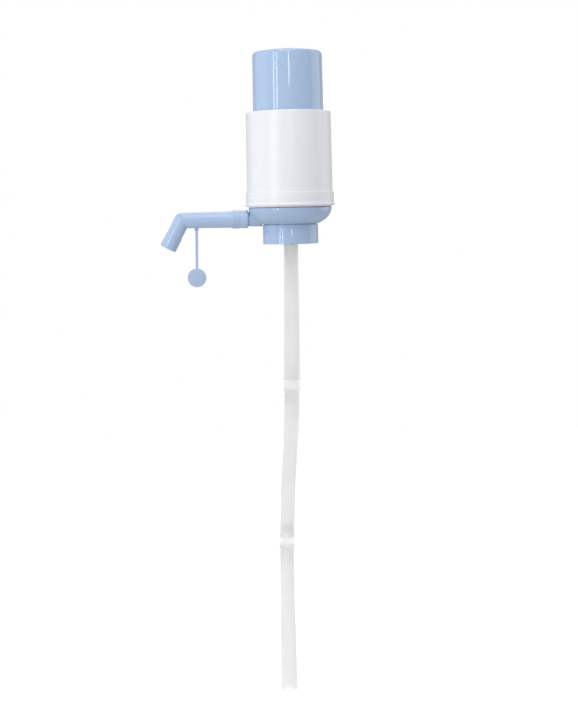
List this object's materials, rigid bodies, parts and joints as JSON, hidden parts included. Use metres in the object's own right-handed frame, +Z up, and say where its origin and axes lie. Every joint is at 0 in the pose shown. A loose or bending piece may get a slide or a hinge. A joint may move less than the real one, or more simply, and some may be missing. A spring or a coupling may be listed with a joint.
{
  "type": "water bottle hand pump",
  "caption": "Hand-pressed water bottle pump: push cap in a sleeve, bowl base with neck collar, swivelling spout with stopper on a strap, and a jointed dip tube.",
  "frame": {"origin": "centre of the neck gasket's underside, where the bottle's rim seats, on the pump's axis", "axes": "+Z up along the pump's axis, -X towards the spout, +Y to the back as the picture shows it; the dip tube hangs below the origin"},
  "size_m": [0.1901, 0.0974, 0.7066],
  "materials": {
    "blue_plastic": "pale blue moulded polypropylene, smooth and glossy",
    "blue_soft": "pale blue soft polyethylene, satin",
    "white_plastic": "white moulded polypropylene, smooth and glossy",
    "milky_tube": "milky, slightly see-through polyethylene",
    "bellows_plastic": "thin natural polyethylene, satin",
    "grip_plastic": "natural soft polyethylene",
    "silicone": "translucent grey silicone",
    "black_rubber": "black rubber",
    "screw_steel": "plain stainless steel"
  },
  "bodies": {
    "pump_body": {"outer_sleeve": "white_plastic", "base_bowl": "blue_plastic", "deck_plate": "white_plastic", "deck_seal": "black_rubber", "clamp_ring": "white_plastic", "clamp_screws": "screw_steel", "check_valve": "black_rubber", "bellows": "bellows_plastic", "neck_gasket": "silicone", "spout_o_ring": "black_rubber", "tube_upper": "milky_tube", "tube_middle": "milky_tube", "tube_lower": "milky_tube", "connector_upper": "milky_tube", "connector_lower": "milky_tube"},
    "plunger": {"push_cap": "blue_plastic", "valve_plate": "white_plastic", "inlet_valve": "black_rubber"},
    "grip": {"squeeze_ring": "grip_plastic"},
    "collar": {"lock_collar": "blue_plastic"},
    "spout": {"spout": "blue_plastic", "spout_tip": "blue_plastic"},
    "stopper": {"stopper": "blue_soft"}
  },
  "joints": [
    {"name": "cap_press", "type": "slide", "parent": "pump_body", "child": "plunger", "axis": [0, 0, -1], "range_m": [0, 0.055], "stiffness_N_per_m": 500, "springref_m": -0.01, "deforming": ["bellows"]},
    {"name": "collar_turn", "type": "hinge", "parent": "pump_body", "child": "grip", "pos_m": [0, 0, 0], "axis": [0, 0, 1], "range_deg": [0, 90]},
    {"name": "collar_lift", "type": "slide", "parent": "grip", "child": "collar", "axis": [0, 0, 1], "range_m": [0, 0.0006]},
    {"name": "spout_swivel", "type": "hinge", "parent": "pump_body", "child": "spout", "pos_m": [-0.053, 0, 0.0145], "axis": [1, 0, 0], "continuous": true},
    {"name": "stopper_swing", "type": "hinge", "parent": "spout", "child": "stopper", "pos_m": [-0.10205, 0, 0.0044], "axis": [1, 0, 0], "range_deg": [-110, 110]}
  ],
  "couplings": [
    {"joint": "collar_lift", "follows": "collar_turn", "m_per_rad": 0.00038197}
  ]
}
